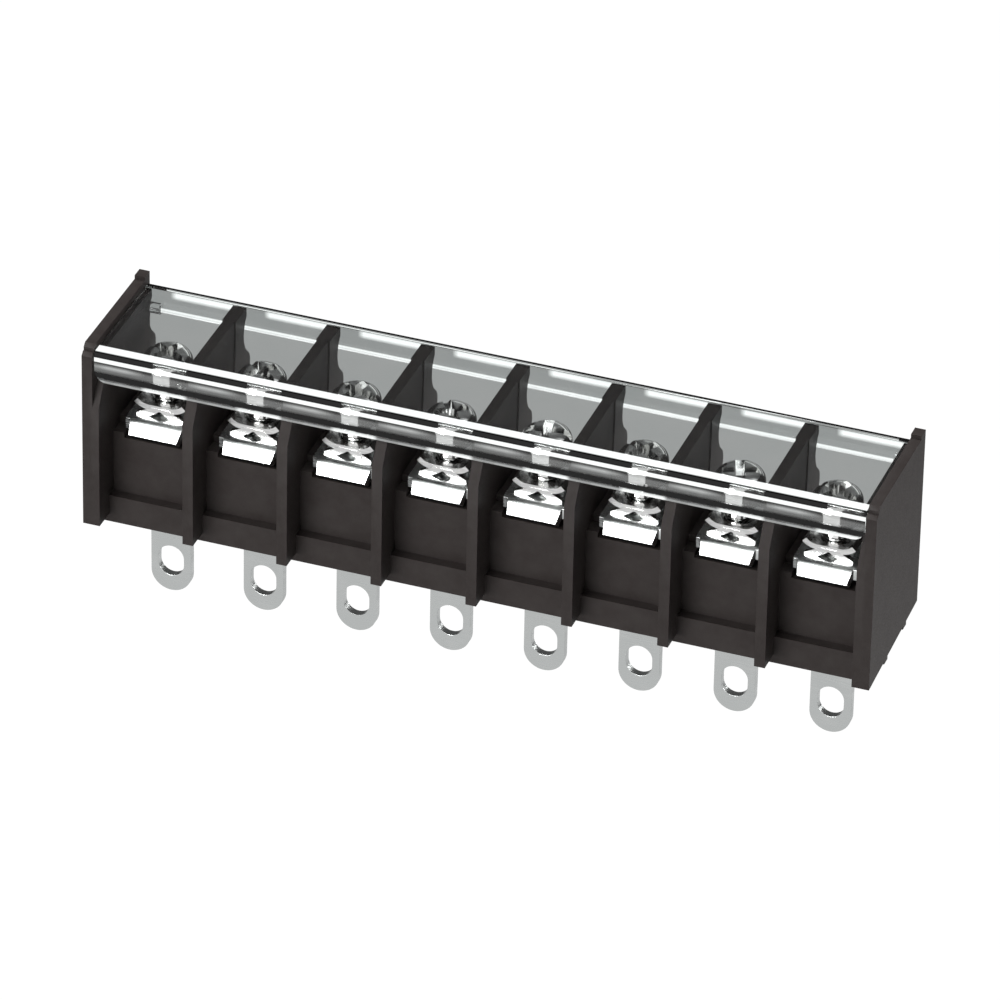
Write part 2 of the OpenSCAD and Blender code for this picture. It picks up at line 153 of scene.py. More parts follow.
# %% [markdown]
# ## The skin of plated metal
#
# Tin and nickel plate over pressed metal is bright but never a mirror: the strip's
# rolling left fine lines along one direction, and handling left cloudy patches. An
# even roughness would look like chrome paint. Noise that is stretched far along one
# axis gives the lines, and plain noise the clouds. Where both are strong the skin is
# bright and glossy. Contacts, clamps, washers and screws share the group.

# %% Group: plated skin
SKIN_LOW, SKIN_HIGH = 0.15, 0.36  # the span of lines times clouds that shows
skin, given, out = open_tree(
    "plated_skin", "ShaderNodeTree",
    [("Lines per Metre", VECTOR, (300.0, 6000.0, 6000.0)),
     ("Clouds per Metre", FLOAT, 500.0),
     ("Bright", COLOUR, (0.8, 0.8, 0.8, 1)), ("Dull", COLOUR, (0.6, 0.6, 0.6, 1)),
     ("Gloss", FLOAT, 0.12), ("Matt", FLOAT, 0.3)], SURFACE)
place = add(skin, "ShaderNodeTexCoord").outputs["Object"]
drawn = output_of(skin, "ShaderNodeVectorMath", {0: place, 1: given["Lines per Metre"]},
                  operation="MULTIPLY")
lines = output_of(skin, "ShaderNodeTexNoise", {"Vector": drawn, "Scale": 1.0, "Detail": 3.0})
clouds = output_of(skin, "ShaderNodeTexNoise", {
    "Vector": place, "Scale": given["Clouds per Metre"], "Detail": 4.0, "Roughness": 0.55})
share = remap(skin, maths(skin, "MULTIPLY", lines, clouds), SKIN_LOW, SKIN_HIGH)
tone = mix_colours(skin, share, given["Dull"], given["Bright"])
rough = remap(skin, share, 0.0, 1.0, given["Matt"], given["Gloss"])
for label, value in (("Color", tone), ("Roughness", rough), ("Height", lines)):
    skin.links.new(value, out[label])
print("group plated_skin:", len(skin.nodes), "nodes")

# %% [markdown]
# ## The six finishes
#
# The strip has two plastics and four plated metals. Each material holds its own
# Principled BSDF, takes colour and roughness from one of the two groups, and turns
# the group's height into a bump of a hundredth of a millimetre or less. One group
# with other values keeps the metals related, and yet each has its own shine.

# %% Materials
PLASTIC_RELIEF, PLATE_RELIEF = 0.01 * MM, 0.006 * MM
METAL = {"Metallic": 1.0}


def make_finish(name, group, values, bump, relief, plain):
    """A material from a group's values, a bump's strength and depth, and plain values."""
    material = bpy.data.materials.new(name)
    material.use_nodes = True
    tree = material.node_tree
    shader = tree.nodes["Principled BSDF"]
    effect = add(tree, "ShaderNodeGroup", values, node_tree=group).outputs
    normal = output_of(tree, "ShaderNodeBump", {
        "Strength": bump, "Distance": relief, "Height": effect["Height"]})
    for label, value in (("Base Color", effect["Color"]), ("Roughness", effect["Roughness"]),
                         ("Normal", normal)):
        tree.links.new(value, shader.inputs[label])
    for label, value in plain.items():
        shader.inputs[label].default_value = value
    print(name, "made")
    return material


black_moulding = make_finish(
    "black_moulding", grain,
    {"Mottles per Metre": 700.0, "Grains per Metre": 9000.0,
     "Dark": (0.027, 0.022, 0.021, 1), "Light": (0.034, 0.029, 0.0275, 1),
     "Gloss": 0.38, "Matt": 0.5}, 0.35, PLASTIC_RELIEF, {"Specular IOR Level": 0.12})
# the clear plastic's emission carries the painted highlights drawn below, and its base colour
# the painted shade
clear_plastic = make_finish(
    "clear_plastic", grain,
    {"Mottles per Metre": 250.0, "Grains per Metre": 700.0,
     "Dark": (0.93, 0.95, 0.95, 1), "Light": (0.97, 0.98, 0.98, 1),
     "Gloss": 0.015, "Matt": 0.05}, 0.05, PLASTIC_RELIEF,
    {"Transmission Weight": 1.0, "IOR": 1.45, "Emission Strength": 1.0})
tinned_strip = make_finish(
    "tinned_strip", skin,
    {"Lines per Metre": (500.0, 500.0, 7000.0), "Clouds per Metre": 350.0,
     "Bright": (0.72, 0.74, 0.735, 1), "Dull": (0.6, 0.62, 0.615, 1),
     "Gloss": 0.2, "Matt": 0.36}, 0.15, PLATE_RELIEF, METAL)
clamp_plate = make_finish(
    "clamp_plate", skin,
    {"Lines per Metre": (400.0, 6000.0, 6000.0), "Clouds per Metre": 600.0,
     "Bright": (0.95, 0.95, 0.94, 1), "Dull": (0.78, 0.78, 0.78, 1),
     "Gloss": 0.1, "Matt": 0.24}, 0.15, PLATE_RELIEF, METAL)
washer_plate = make_finish(
    "washer_plate", skin,
    {"Lines per Metre": (2500.0, 2500.0, 6000.0), "Clouds per Metre": 700.0,
     "Bright": (0.82, 0.82, 0.81, 1), "Dull": (0.6, 0.6, 0.6, 1),
     "Gloss": 0.14, "Matt": 0.3}, 0.15, PLATE_RELIEF, METAL)
screw_plate = make_finish(
    "screw_plate", skin,
    {"Lines per Metre": (1500.0, 1500.0, 9000.0), "Clouds per Metre": 500.0,
     "Bright": (0.93, 0.93, 0.92, 1), "Dull": (0.76, 0.76, 0.75, 1),
     "Gloss": 0.05, "Matt": 0.13}, 0.12, PLATE_RELIEF, METAL)

# %% [markdown]
# ## A soft band
#
# Clear plastic leads light along its walls and lets it out at the bends. So the
# cover shows bright lines along its front edge, its front face and its rear wall,
# and dark ones where a bend is seen end on. A renderer finds such lines only with
# very many samples, and then they are full of noise. Here the material paints
# them: the bright lines are painted highlights that glow, and the dark ones are
# painted shade with no colour. One group says where a value lies between two
# limits, with soft sides, and every painted line is made of such bands.

# %% Group: one soft band
band, given, out = open_tree(
    "soft_band", "ShaderNodeTree",
    [("Value", FLOAT, 0.0), ("Low", FLOAT, 0.0), ("High", FLOAT, 1.0), ("Soft", FLOAT, 0.05)],
    [("Mask", FLOAT, None)])
sides = []
for limit, inwards in (("Low", 1.0), ("High", -1.0)):
    beyond = maths(band, "SUBTRACT", given["Value"], given[limit])
    inside = maths(band, "MULTIPLY", beyond, inwards)
    softened = maths(band, "DIVIDE", inside, given["Soft"])
    sides.append(maths(band, "ADD", softened, 0.5, use_clamp=True))
band.links.new(maths(band, "MULTIPLY", *sides), out["Mask"])
print("group soft_band:", len(band.nodes), "nodes")

# %% [markdown]
# ## Where the cover's painted highlight and shade lines run
#
# Their places are given in millimetres of the cover's own Y and Z. Along X the
# measure starts again at each barrier, so that what is written once shows in all
# eight poles. The lines belong to the plastic: they stay on it when it swings open.

# %% Measures on the cover
PITCH = 9.5  # millimetres from barrier to barrier, as the limits below are
tree = clear_plastic.node_tree
place = add(tree, "ShaderNodeTexCoord").outputs["Object"]
in_mm = output_of(tree, "ShaderNodeVectorMath", {0: place, 1: (1 / MM,) * 3},
                  operation="MULTIPLY")
axes = add(tree, "ShaderNodeSeparateXYZ", {0: in_mm}).outputs
from_left_end = maths(tree, "ADD", axes["X"], 4 * PITCH)
along = {"x": maths(tree, "MODULO", from_left_end, PITCH), "y": axes["Y"], "z": axes["Z"]}


def line_of(*limits):
    """Where soft bands cross; each is (axis, low, high, softness)."""
    line = None
    for axis, low, high, soft in limits:
        mask = output_of(tree, "ShaderNodeGroup", {
            "Value": along[axis], "Low": low, "High": high, "Soft": soft}, node_tree=band)
        line = mask if line is None else maths(tree, "MULTIPLY", line, mask)
    return line


def total_of(lines):
    """The sum of lines, each with a strength."""
    total = None
    for line, strength in lines:
        scaled = maths(tree, "MULTIPLY", line, strength)
        total = scaled if total is None else maths(tree, "ADD", total, scaled)
    return total


print("measures along the cover:", sorted(along))

# %% Painted highlights and painted shade lines on the clear plastic
FRONT_FACE, REAR_WALL = ("y", -7.5, -6.95, 0.02), ("y", 6.2, 6.3, 0.02)
IN_FRONT_OF_SCREW = ("x", 6.0, 9.1, 0.4)
painted_highlights = total_of([
    # painted highlights: on top behind the front bend, high on the front face, and two hazes
    # below that
    (line_of(("y", -6.7, -5.65, 0.08), ("z", 19.9, 20.5, 0.05)), 1.0),
    (line_of(FRONT_FACE, ("z", 18.93, 19.38, 0.06)), 1.0),
    (line_of(FRONT_FACE, ("z", 17.9, 18.6, 0.25)), 0.14),
    (line_of(FRONT_FACE, ("z", 18.3, 18.7, 0.3), ("x", 0.3, 4.2, 2.0)), 0.3),
    # a painted highlight along the front face's lower edge, stronger over half of each pole
    (line_of(FRONT_FACE, ("z", 16.6, 16.98, 0.1)), 0.3),
    (line_of(FRONT_FACE, ("z", 16.6, 17.12, 0.1), ("x", 4.9, 9.2, 0.5)), 0.6),
    # a painted highlight high on the rear wall in each pole, and one along its whole lower
    # edge
    (line_of(REAR_WALL, ("z", 18.6, 19.3, 0.4), ("x", 2.7, 9.0, 0.6)), 0.9),
    (line_of(REAR_WALL, ("z", 16.7, 17.2, 0.1)), 0.8)])
# painted shade: a dark line along the front bend, broken in front of each screw where the
# screw head's glint shows through, a dark band across the front face, and a dark line along
# the rear bend
painted_front_bend_shade = line_of(("y", -7.5, -6.7, 0.04), ("z", 19.4, 20.5, 0.04))
beside_screws = maths(tree, "SUBTRACT", 1.0, line_of(IN_FRONT_OF_SCREW))
painted_shade_lines = total_of([
    (maths(tree, "MULTIPLY", painted_front_bend_shade, beside_screws), 1.0),
    (line_of(FRONT_FACE, ("z", 17.15, 17.8, 0.15)), 1.0),
    (line_of(("y", 6.15, 7.0, 0.05), ("z", 19.3, 20.5, 0.1)), 1.0)])  # the rear bend

shader = tree.nodes["Principled BSDF"]
tint = shader.inputs["Base Color"].links[0].from_socket
BLACK = (0, 0, 0, 1)
# the painted highlights glow in the emission colour, and the painted shade turns the base
# colour black
for label, colour in (
        ("Emission Color", mix_colours(tree, painted_highlights, BLACK, (0.97, 1.0, 0.99, 1))),
        ("Base Color", mix_colours(tree, painted_shade_lines, tint, BLACK))):
    tree.links.new(colour, shader.inputs[label])
print("clear_plastic:", len(tree.nodes), "nodes")

# %% [markdown]
# ## Keeping a piece as a plain mesh
#
# A modifier is a recipe that Blender works out anew each time. What moves with a
# joint has to be a finished shape, so a piece ends as a plain mesh at the origin,
# with its place in its points, riding on the body that carries it. Smooth faces with
# sharp creases between them keep rounded parts round and flat parts flat.

# %% Piece helpers
def link(name, data):
    """An object in the scene for a mesh, a lamp or a lens."""
    thing = bpy.data.objects.new(name, data)
    bpy.context.scene.collection.objects.link(thing)
    return thing


def smooth(mesh, crease):
    """Smooth faces, but sharp edges where they meet at more than crease degrees."""
    mesh.polygons.foreach_set("use_smooth", [True] * len(mesh.polygons))
    mesh.set_sharp_from_angle(angle=math.radians(crease))


def settle(piece, crease=None):
    """Turns a piece and its modifiers into a plain mesh."""
    bpy.context.view_layer.update()
    graph = bpy.context.evaluated_depsgraph_get()
    mesh = bpy.data.meshes.new_from_object(piece.evaluated_get(graph))
    piece.modifiers.clear()
    piece.data = mesh
    if crease:
        smooth(mesh, crease)


def stand_for(piece, node, body):
    """Lets a piece ride on a body and take a node's place, with the node hidden."""
    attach(piece, body)
    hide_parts(node)
    print(piece.name, "stands for", node, "with", len(piece.data.polygons), "faces")


# %% [markdown]
# ## Softened copies
#
# A moulding has no knife edges, and neither has a strip that was blanked and bent.
# The CAD solids have the true shapes but sharp edges, so a copy of each is merged,
# its flat faces are joined up again, and a Bevel modifier rounds every edge by a
# few hundredths of a millimetre. Those edges catch the thin highlights that tell
# plastic and metal from cardboard.

# %% Softened copies
WELD = 0.002 * MM  # points nearer than this become one
FLAT_WITHIN, CREASE = 0.5, 35  # degrees between two faces: still flat, and an edge


def soften_edges(piece, width):
    """Rounds every edge that is sharper than the crease angle."""
    rounding = piece.modifiers.new("soft edges", "BEVEL")
    rounding.width = width
    rounding.segments = 2
    rounding.limit_method = "ANGLE"
    rounding.angle_limit = math.radians(CREASE)
    rounding.harden_normals = True


def softened_copy(node, name, width, material):
    """A copy of a CAD node's mesh with rounded edges and a finish of its own."""
    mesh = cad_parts[node].data.copy()
    mesh.name = name
    work = bmesh.new()
    work.from_mesh(mesh)
    bmesh.ops.remove_doubles(work, verts=work.verts, dist=WELD)
    bmesh.ops.dissolve_limit(work, angle_limit=math.radians(FLAT_WITHIN), verts=work.verts,
                             edges=work.edges)
    work.to_mesh(mesh)
    work.free()
    mesh.materials.clear()
    mesh.materials.append(material)
    smooth(mesh, CREASE)
    piece = link(name, mesh)
    soften_edges(piece, width)
    settle(piece)
    return piece


print("edges over", CREASE, "degrees will be rounded")

# %% [markdown]
# ## The moulded body
#
# The closed cover lies on the barriers' tops, so a black face and a clear one fill
# the same place, and a renderer can't tell which comes first. The real parts touch
# at a few spots only. So the tops go down by a hair, too little to see. Rounding may
# also carry a point just outside the solid, and each one is held inside its box.

# %% Body
COVER_SHEET = 0.6 * MM  # the cover's thickness over the barriers
LOWERED = 0.04 * MM
BELOW_TOP, ABOVE_TOP = 0.1 * MM, 0.01 * MM  # a point between these is part of a top

body = softened_copy("housing", "moulded_body", 0.07 * MM, black_moulding)
corner_low, corner_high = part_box("housing")
top_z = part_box("cover")[1].z - COVER_SHEET
lowered = 0
for vertex in body.data.vertices:
    point = vertex.co
    if top_z - BELOW_TOP < point.z < top_z + ABOVE_TOP:
        point.z -= LOWERED
        lowered += 1
    vertex.co = [min(max(point[i], corner_low[i]), corner_high[i]) for i in range(3)]
stand_for(body, "housing", "base")
print(lowered, "points of the barriers' tops lowered by", LOWERED / MM, "mm")

# %% [markdown]
# ## The contacts
#
# Each contact is a strip of tinned brass, blanked and bent: plate, lip, leg and lug.
# Nodes could bend it anew from a flat strip, but the solids have those bends already
# and are what the checks measured, so rounding their edges is enough.

# %% Eight contacts
for n in POLES:
    contact = softened_copy(f"contact_{n}", f"bent_contact_{n}", 0.06 * MM, tinned_strip)
    stand_for(contact, f"contact_{n}", "base")

# %% [markdown]
# ## The cover
#
# The cover is a clear channel. Its edges are what shows: light that runs inside the
# plastic leaves at every rounding. The bright and dark lines along its front are
# painted highlights and painted shade in its material. So it is a softened copy
# too, with a rounding that stays thin beside those painted lines.

# %% Cover
cover = softened_copy("cover", "clear_channel", 0.04 * MM, clear_plastic)
stand_for(cover, "cover", "cover")

# %% [markdown]
# ## Placing what repeats
#
# Washers, screws and clamps repeat in every pole, each on a body of its own. Their
# shape is made once by a Geometry Nodes tree round the origin, and the tree's last
# nodes turn it, move it to its pole, realize it and set its material. One tree with
# named inputs is easier to change than eight meshes.

# %% Tree ending shared by the repeated pieces
PLACING = [("Turn", FLOAT, 0.0), ("Place", VECTOR, (0.0, 0.0, 0.0)),
           ("Finish", MATERIAL, None)]
GROWN_CREASE = 30  # degrees, for the pieces that grow from a tree


def vector_of(tree, **parts):
    """A vector from its X, Y and Z; what isn't given is zero."""
    return output_of(tree, "ShaderNodeCombineXYZ", parts)


def place_and_close(tree, given, out, shape):
    """Turns the shape about Z, moves it to its pole, realizes it and gives it its finish."""
    moved = output_of(tree, "GeometryNodeTransform", {
        "Geometry": shape, "Translation": given["Place"],
        "Rotation": vector_of(tree, Z=given["Turn"])})
    real = output_of(tree, "GeometryNodeRealizeInstances", {"Geometry": moved})
    done = output_of(tree, "GeometryNodeSetMaterial", {
        "Geometry": real, "Material": given["Finish"]})
    tree.links.new(done, out["Geometry"])
    print(tree.name, "has", len(tree.nodes), "nodes")


def grow(name, start, tree, values, rounding=None):
    """A piece from a start mesh and a tree, whose inputs are set by identifier."""
    piece = link(name, start)
    modifier = piece.modifiers.new(tree.name, "NODES")
    modifier.node_group = tree
    for item in tree.interface.items_tree:
        if item.in_out == "INPUT" and item.name in values:
            modifier[item.identifier] = values[item.name]
    settle(piece, GROWN_CREASE)
    if rounding:
        soften_edges(piece, rounding)
        settle(piece)
    return piece


def pole_place(node):
    """The middle of a node's box in X and Y, and its lowest Z."""
    low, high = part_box(node)
    middle = (low + high) / 2
    return middle.x, middle.y, low.z


print("every repeated piece takes", [label for label, *_ in PLACING])

# %% [markdown]
# ## Lock washers
#
# A spring lock washer is one turn of square wire, split, with its two ends pulled a
# little apart. A flat ring with a cut would lose that spring. So the tree draws an
# arc of nearly a full turn, lifts it evenly along its length, and sweeps a small
# square with rounded corners along it.

# %% Lock washer tree
ARC_POINTS, WIRE_EDGE, WIRE_EDGE_POINTS = 72, 0.08 * MM, 3
washer_tree, given, out = open_tree(
    "split_washer", "GeometryNodeTree",
    [("Geometry", GEOMETRY, None), ("Outer Radius", FLOAT, 2.39 * MM),
     ("Hole Radius", FLOAT, 1.56 * MM), ("Thickness", FLOAT, 0.78 * MM),
     ("Split", FLOAT, 0.18), ("Pull", FLOAT, 0.08 * MM)] + PLACING,
    [("Geometry", GEOMETRY, None)])
both_radii = maths(washer_tree, "ADD", given["Outer Radius"], given["Hole Radius"])
arc = output_of(washer_tree, "GeometryNodeCurveArc", {
    "Resolution": ARC_POINTS, "Radius": maths(washer_tree, "MULTIPLY", both_radii, 0.5),
    "Start Angle": 0.0,
    "Sweep Angle": maths(washer_tree, "SUBTRACT", 2 * math.pi, given["Split"])})
way = add(washer_tree, "GeometryNodeSplineParameter").outputs["Factor"]
rise = maths(washer_tree, "MULTIPLY", remap(washer_tree, way, 0.0, 1.0, -0.5, 0.5),
             given["Pull"])
coil = output_of(washer_tree, "GeometryNodeSetPosition", {
    "Geometry": arc, "Offset": vector_of(washer_tree, Z=rise)})
wire = output_of(washer_tree, "GeometryNodeCurvePrimitiveQuadrilateral", {
    "Width": maths(washer_tree, "SUBTRACT", given["Outer Radius"], given["Hole Radius"]),
    "Height": maths(washer_tree, "SUBTRACT", given["Thickness"], given["Pull"])})
soft_wire = output_of(washer_tree, "GeometryNodeFilletCurve", {
    "Curve": wire, "Radius": WIRE_EDGE, "Count": WIRE_EDGE_POINTS}, mode="POLY")
ring = output_of(washer_tree, "GeometryNodeCurveToMesh", {
    "Curve": coil, "Profile Curve": soft_wire, "Fill Caps": True})
place_and_close(washer_tree, given, out, ring)

# %% Eight lock washers
WASHER_MIDDLE = 0.4 * MM  # above the solid's lowest point
FIRST_SPLIT, NEXT_SPLIT = -100, 67  # degrees; no two splits point the same way
for n in POLES:
    x, y, z = pole_place(f"lock_washer_{n}")
    washer = grow(f"split_washer_{n}", bpy.data.meshes.new(f"split_washer_{n}"), washer_tree, {
        "Turn": math.radians(FIRST_SPLIT + NEXT_SPLIT * n),
        "Place": (x, y, z + WASHER_MIDDLE), "Finish": washer_plate})
    stand_for(washer, f"lock_washer_{n}", f"lock_washer_{n}")

# %% [markdown]
# ## Screws
#
# A screw is a turned shape. It could be spun in Edit Mode, but then its sizes are
# gone once it is made. Here its half section is drawn once as a line of points, and
# the tree spins it: a very small circle is the path, and the section is the profile
# that is swept along it.

# %% Half section of a screw
SHANK_R, CORE_R, SHANK_L = 1.5 * MM, 1.28 * MM, 8.0 * MM
HEAD_R, HEAD_SIDE, HEAD_H = 2.5 * MM, 0.75 * MM, 2.0 * MM
EDGE_R = HEAD_H - HEAD_SIDE
CROWN_R = HEAD_R - EDGE_R
TIP_IN, TIP_UP = 0.25 * MM, 0.3 * MM
NECK_LOW, NECK_HIGH = 0.3 * MM, 0.05 * MM  # under the head, where the core widens
RIM = 0.08 * MM
QUARTER_STEPS = 12


def screw_section():
    """Points (radius, height) from the head's middle round to the tip's middle."""
    points = [(0.0, -SHANK_L), (CORE_R - TIP_IN, -SHANK_L), (CORE_R, -SHANK_L + TIP_UP),
              (CORE_R, -NECK_LOW), (SHANK_R, -NECK_HIGH), (SHANK_R, 0.0),
              (HEAD_R - RIM, 0.0), (HEAD_R, RIM)]
    for step in range(QUARTER_STEPS + 1):
        angle = math.radians(90 * step / QUARTER_STEPS)
        points.append((CROWN_R + EDGE_R * math.cos(angle),
                       HEAD_SIDE + EDGE_R * math.sin(angle)))
    points += [(CROWN_R * 0.5, HEAD_H), (0.0, HEAD_H)]
    return points[::-1]


def section_mesh(name):
    """The section as a mesh of edges, lying down so that the sweep stands it up."""
    points = screw_section()
    mesh = bpy.data.meshes.new(name)
    mesh.from_pydata([(r, -z, 0.0) for r, z in points],
                     [(i, i + 1) for i in range(len(points) - 1)], [])
    return mesh


print("screw section:", len(screw_section()), "points")

# %% Screw tree: the turned body
AXIS_R, AXIS_POINTS = 0.0001 * MM, 64
SEAM = 0.001 * MM  # points nearer than this become one
screw_tree, given, out = open_tree(
    "slotted_screw", "GeometryNodeTree",
    [("Geometry", GEOMETRY, None), ("Slot Width", FLOAT, 0.8 * MM),
     ("Slot Depth", FLOAT, 0.75 * MM), ("Cross Length", FLOAT, 3.0 * MM),
     ("Cross Depth", FLOAT, 1.25 * MM), ("Lead", FLOAT, 0.5 * MM),
     ("Threaded", FLOAT, 7.3 * MM)] + PLACING,
    [("Geometry", GEOMETRY, None)])
profile = output_of(screw_tree, "GeometryNodeMeshToCurve", {"Mesh": given["Geometry"]})
path = output_of(screw_tree, "GeometryNodeCurvePrimitiveCircle", {
    "Resolution": AXIS_POINTS, "Radius": AXIS_R})
turned = output_of(screw_tree, "GeometryNodeCurveToMesh", {
    "Curve": path, "Profile Curve": profile})
welded = output_of(screw_tree, "GeometryNodeMergeByDistance", {
    "Geometry": turned, "Distance": SEAM})
print("slotted_screw so far:", len(screw_tree.nodes), "nodes")

# %% [markdown]
# ## A screw's recess and thread
#
# The slot and the cross are pressed into the head by a tapered punch. So they are
# cut by wedges that are wider at their top, with the exact Boolean, which copes with
# cutters that cross each other. The thread is a small three-cornered rib wound round
# the core. A cut groove would need far more faces for the same look.

# %% Screw tree: recess and thread
WEDGE_H, WEDGE_TOP, WEDGE_FLOOR = 2.0, 1.5, 0.75  # times the depth, and the widths given
PAST_HEAD = 3 * HEAD_R
RIB_R, RIB_FROM_TIP, RIB_STEPS = 0.22 * MM, 0.2 * MM, 28


def recess(size_x, size_y, depth):
    """A four-sided wedge that cuts as deep as asked and stands clear of the head."""
    wedge = output_of(screw_tree, "GeometryNodeMeshCone", {
        "Vertices": 4, "Radius Top": 0.5 * WEDGE_TOP * math.sqrt(2),
        "Radius Bottom": 0.5 * WEDGE_FLOOR * math.sqrt(2), "Depth": WEDGE_H})
    square = output_of(screw_tree, "GeometryNodeTransform", {
        "Geometry": wedge, "Rotation": (0.0, 0.0, math.radians(45))})
    floor_z = maths(screw_tree, "SUBTRACT", HEAD_H, depth)
    return output_of(screw_tree, "GeometryNodeTransform", {
        "Geometry": square, "Translation": vector_of(screw_tree, Z=floor_z),
        "Scale": vector_of(screw_tree, X=size_x, Y=size_y, Z=depth)})


cut = add(screw_tree, "GeometryNodeMeshBoolean", {"Mesh 1": welded, "Self Intersection": True},
          solver="EXACT", operation="DIFFERENCE")
for cutter in (recess(given["Slot Width"], PAST_HEAD, given["Slot Depth"]),
               recess(given["Slot Width"], given["Cross Length"], given["Cross Depth"]),
               recess(given["Cross Length"], given["Slot Width"], given["Cross Depth"])):
    screw_tree.links.new(cutter, cut.inputs["Mesh 2"])

windings = maths(screw_tree, "DIVIDE", given["Threaded"], given["Lead"])
helix = output_of(screw_tree, "GeometryNodeCurveSpiral", {
    "Resolution": RIB_STEPS, "Rotations": windings, "Start Radius": CORE_R,
    "End Radius": CORE_R, "Height": given["Threaded"]})
from_tip = output_of(screw_tree, "GeometryNodeTransform", {
    "Geometry": helix, "Translation": (0.0, 0.0, -SHANK_L + RIB_FROM_TIP)})
rib = output_of(screw_tree, "GeometryNodeCurvePrimitiveCircle", {
    "Resolution": 3, "Radius": RIB_R})
thread = output_of(screw_tree, "GeometryNodeCurveToMesh", {
    "Curve": from_tip, "Profile Curve": rib, "Fill Caps": True})
joined = add(screw_tree, "GeometryNodeJoinGeometry")
for part in (cut.outputs[0], thread):
    screw_tree.links.new(part, joined.inputs[0])
place_and_close(screw_tree, given, out, joined.outputs[0])

# %% Eight screws
SLOT_TURNS = [62, 48, 75, 35, 100, 58, 20, 66]  # degrees, as screws are left by hand
for n, slot_turn in zip(POLES, SLOT_TURNS):
    x, y, z = pole_place(f"screw_{n}")
    screw = grow(f"slotted_screw_{n}", section_mesh(f"slotted_screw_{n}"), screw_tree, {
        "Turn": math.radians(slot_turn), "Place": (x, y, z + SHANK_L),
        "Finish": screw_plate}, rounding=0.06 * MM)
    stand_for(screw, f"screw_{n}", f"screw_{n}")

# %% [markdown]
# ## Wire clamps
#
# The clamp is a pressed saddle: a flat middle with the screw's hole, two sides swept
# up into ears, and a front and a back foot. Each foot is a band like a wide roof. Its
# two ends are claws that bite the wire, and its underside rises to a small arch in
# the middle. The sheet's middle line follows a rule - straight, then an arc - so the
# tree bends a straight curve by that formula, which keeps the sheet's length true,
# and sweeps the sheet's section along it. The foot is drawn once, from the front.

# %% A foot, seen from the front
CLAMP_T, CLAMP_FLAT, EAR_R, EAR_TURN = 0.55 * MM, 1.1 * MM, 1.8 * MM, math.radians(47)
CLAW_HALF, CLAW_IN, CLAW_H = 2.35 * MM, 1.15 * MM, 0.22 * MM
ARCH_TOP, FLAT_Z = 0.72 * MM, 1.0 * MM
# right halves (x, height): the underside from claw to arch, and the band's upper side
UNDERSIDE = [(CLAW_IN, 0.0), (0.32 * MM, ARCH_TOP - 0.22 * MM),
             (0.12 * MM, ARCH_TOP - 0.04 * MM)]
ROOF = [(CLAW_HALF, 0.0), (CLAW_HALF, CLAW_H), (CLAMP_FLAT * 0.8, FLAT_Z)]


def mirrored(points):
    return [(-x, z) for x, z in points]


def foot_outline():
    """The foot's outline, once round: its claws stand on the contact."""
    return (mirrored(UNDERSIDE) + [(0.0, ARCH_TOP)] + UNDERSIDE[::-1]
            + ROOF + mirrored(ROOF[::-1]))


def foot_mesh(name):
    """The outline as a closed mesh of edges, lying down until the clamp is stood up."""
    outline = foot_outline()
    mesh = bpy.data.meshes.new(name)
    count = len(outline)
    mesh.from_pydata([(x, z, 0.0) for x, z in outline],
                     [(i, (i + 1) % count) for i in range(count)], [])
    return mesh


print("foot outline:", len(foot_outline()), "points")

# %% Clamp tree: the bent sheet
LINE_POINTS = 41
clamp_tree, given, out = open_tree(
    "saddle_clamp", "GeometryNodeTree",
    [("Geometry", GEOMETRY, None), ("Thickness", FLOAT, CLAMP_T), ("Flat", FLOAT, CLAMP_FLAT),
     ("Ear Radius", FLOAT, EAR_R), ("Ear Turn", FLOAT, EAR_TURN), ("Depth", FLOAT, 4.3 * MM),
     ("Middle Height", FLOAT, FLAT_Z), ("Foot Thickness", FLOAT, CLAMP_T),
     ("Hole Radius", FLOAT, 1.65 * MM)] + PLACING,
    [("Geometry", GEOMETRY, None)])


def sum_of(kind, *values):
    return maths(clamp_tree, kind, *values)


ear_length = sum_of("MULTIPLY", given["Ear Radius"], given["Ear Turn"])
half_length = sum_of("ADD", given["Flat"], ear_length)
left, right = [vector_of(clamp_tree, X=sum_of("MULTIPLY", half_length, side))
               for side in (-1.0, 1.0)]
straight = output_of(clamp_tree, "GeometryNodeCurvePrimitiveLine", {
    "Start": left, "End": right})
fine_line = output_of(clamp_tree, "GeometryNodeResampleCurve", {
    "Curve": straight, "Count": LINE_POINTS})
position = output_of(clamp_tree, "GeometryNodeInputPosition")
here = add(clamp_tree, "ShaderNodeSeparateXYZ", {0: position}).outputs["X"]
length = sum_of("ABSOLUTE", here)
past_flat = sum_of("MAXIMUM", sum_of("SUBTRACT", length, given["Flat"]), 0.0)
turn = sum_of("DIVIDE", past_flat, given["Ear Radius"])
arc_out = sum_of("MULTIPLY", given["Ear Radius"], sum_of("SINE", turn))
reach = sum_of("ADD", sum_of("MINIMUM", length, given["Flat"]), arc_out)
rise = sum_of("MULTIPLY", given["Ear Radius"],
              sum_of("SUBTRACT", 1.0, sum_of("COSINE", turn)))
bent_place = vector_of(clamp_tree, X=sum_of("MULTIPLY", reach, sum_of("SIGN", here)),
                       Y=sum_of("ADD", rise, given["Middle Height"]))
bent = output_of(clamp_tree, "GeometryNodeSetPosition", {
    "Geometry": fine_line, "Position": bent_place})
section = output_of(clamp_tree, "GeometryNodeCurvePrimitiveQuadrilateral", {
    "Width": given["Thickness"], "Height": given["Depth"]})
sheet = output_of(clamp_tree, "GeometryNodeCurveToMesh", {
    "Curve": bent, "Profile Curve": section, "Fill Caps": True})
print("saddle_clamp so far:", len(clamp_tree.nodes), "nodes")

